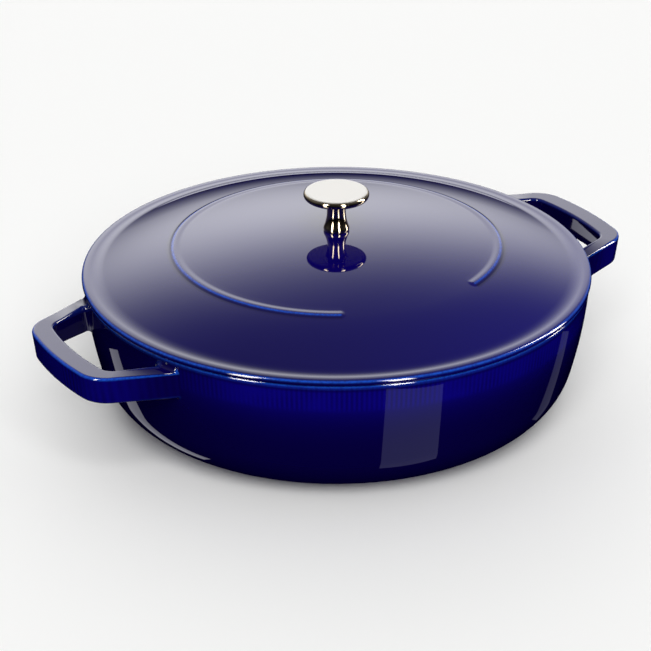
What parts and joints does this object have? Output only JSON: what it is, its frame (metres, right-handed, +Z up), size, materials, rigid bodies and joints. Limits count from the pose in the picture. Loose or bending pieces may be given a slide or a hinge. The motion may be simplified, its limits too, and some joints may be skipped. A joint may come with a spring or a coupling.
{
  "type": "braiser",
  "caption": "Round shallow cast-iron braiser in blue enamel with loop handles and a lift-off domed lid with a metal knob.",
  "frame": {"origin": "middle of the flat base", "axes": "+Z up, +X along the two handles, front of the lid towards -Y"},
  "size_m": [0.3684, 0.296, 0.128],
  "materials": {
    "blue_enamel": "glossy deep blue enamel on cast iron, matte black enamel inside",
    "nickel_plate": "polished nickel plate",
    "stainless_steel": "plain stainless steel"
  },
  "bodies": {
    "pot": {"pot": "blue_enamel"},
    "lid": {"lid": "blue_enamel", "lid_knob": "nickel_plate", "knob_screw": "stainless_steel", "flat_washer": "stainless_steel", "spring_washer": "stainless_steel"}
  },
  "joints": [
    {"name": "lid_lift", "type": "slide", "parent": "pot", "child": "lid", "axis": [0, 0, 1], "range_m": [0, 0.15]}
  ]
}
